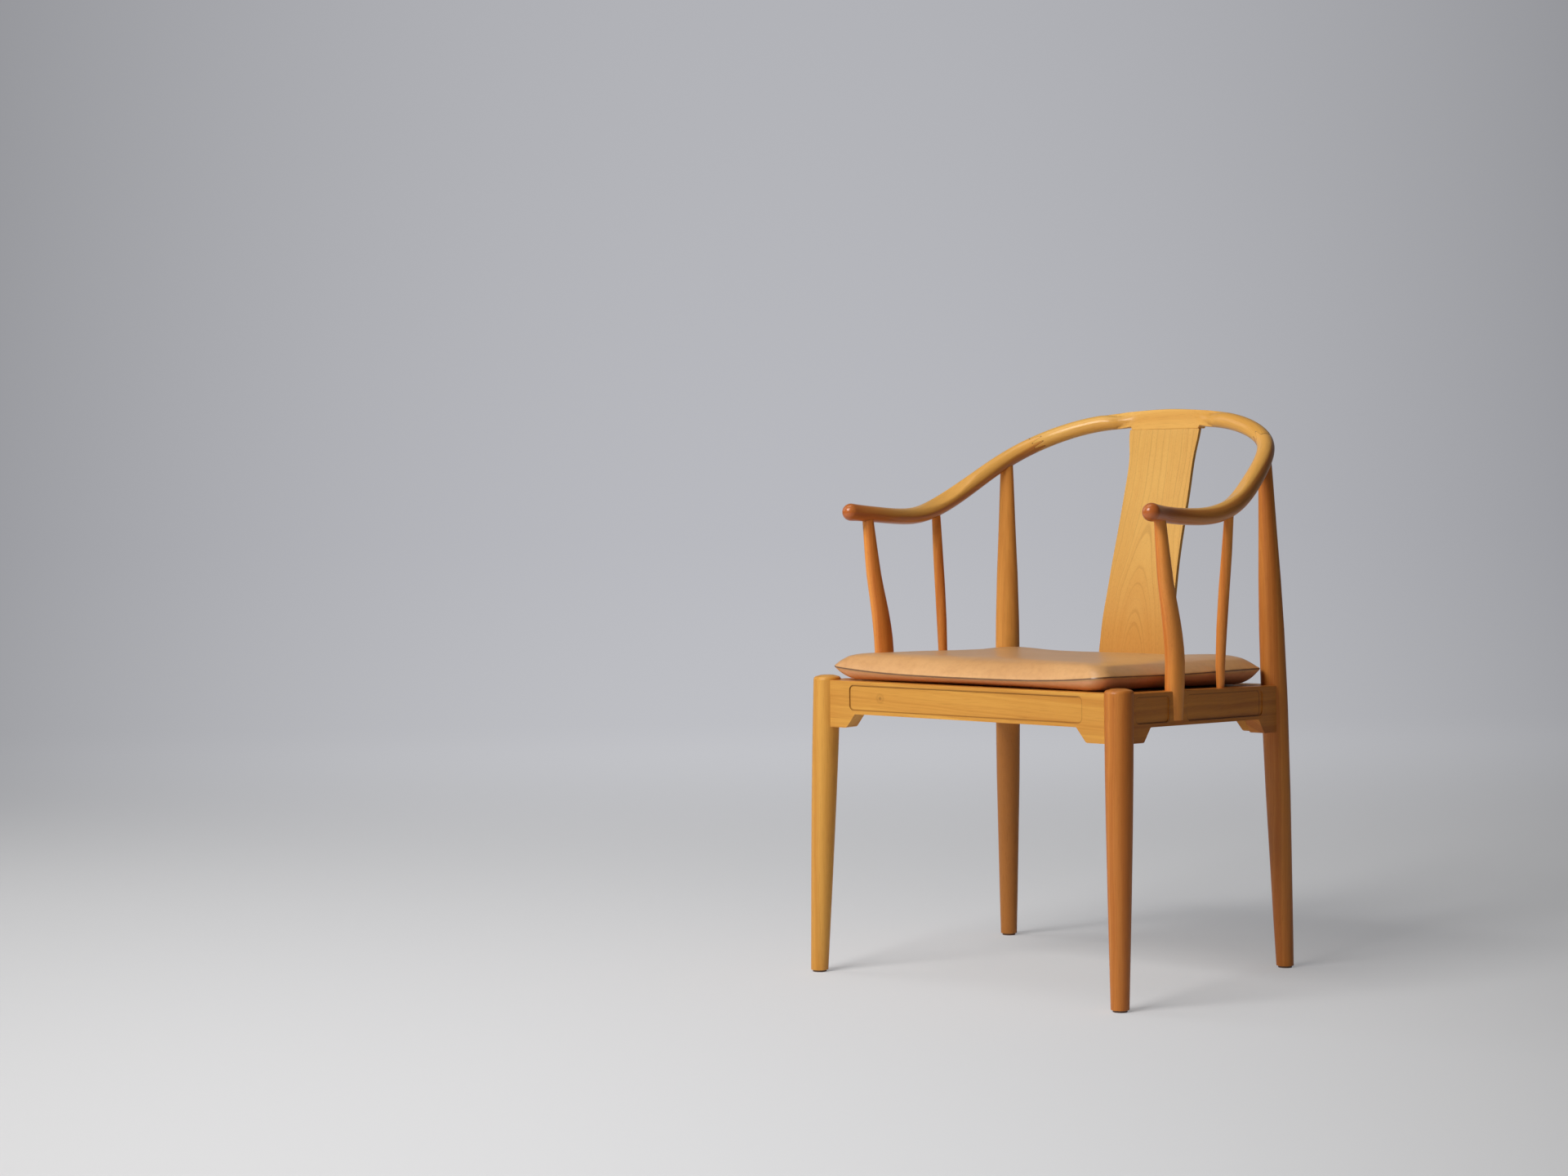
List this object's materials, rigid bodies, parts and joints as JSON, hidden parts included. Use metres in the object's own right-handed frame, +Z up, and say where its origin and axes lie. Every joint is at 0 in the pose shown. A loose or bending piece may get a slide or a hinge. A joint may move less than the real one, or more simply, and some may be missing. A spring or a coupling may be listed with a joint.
{
  "type": "horseshoe back armchair",
  "caption": "Wooden armchair with a continuous round horseshoe rail, an S-curved splat, gooseneck arm posts, tapered turned legs and a loose leather seat cushion.",
  "frame": {"origin": "on the floor under the middle of the chair's bounding box", "axes": "+Z up, -Y towards the front of the chair, where the sitter's legs go, +X across the chair, to the right as seen from the front"},
  "size_m": [0.5618, 0.5462, 0.8198],
  "materials": {
    "pale_wood": "satin, fine open grain",
    "turned_wood": "satin, fine open grain",
    "arm_wood": "satin, handled smooth",
    "deck_wood": "plain, unfinished",
    "tan_leather": "smooth natural leather, soft sheen",
    "dark_glide": "matte",
    "screw_steel": "plain"
  },
  "bodies": {
    "frame": {"front_leg_left": "turned_wood", "front_leg_right": "turned_wood", "rear_post_left": "turned_wood", "rear_post_right": "turned_wood", "front_rail": "pale_wood", "back_rail": "pale_wood", "side_rail_left": "pale_wood", "side_rail_right": "pale_wood", "arm_post_left": "turned_wood", "arm_post_right": "turned_wood", "side_spindle_left": "turned_wood", "side_spindle_right": "turned_wood", "arm_rail_left": "arm_wood", "arm_rail_right": "arm_wood", "crest_rail": "pale_wood", "back_splat": "pale_wood", "seat_deck": "deck_wood", "corner_block_front_left": "deck_wood", "corner_block_front_right": "deck_wood", "corner_block_rear_left": "deck_wood", "corner_block_rear_right": "deck_wood", "foot_glide_front_left": "dark_glide", "foot_glide_front_right": "dark_glide", "foot_glide_rear_left": "dark_glide", "foot_glide_rear_right": "dark_glide", "block_screws": "screw_steel", "deck_screws": "screw_steel"},
    "cushion": {"seat_cushion": "tan_leather"}
  },
  "joints": [
    {"name": "cushion_lift", "type": "slide", "parent": "frame", "child": "cushion", "axis": [0, -0.9659, 0.2588], "range_m": [0, 0.5]}
  ]
}
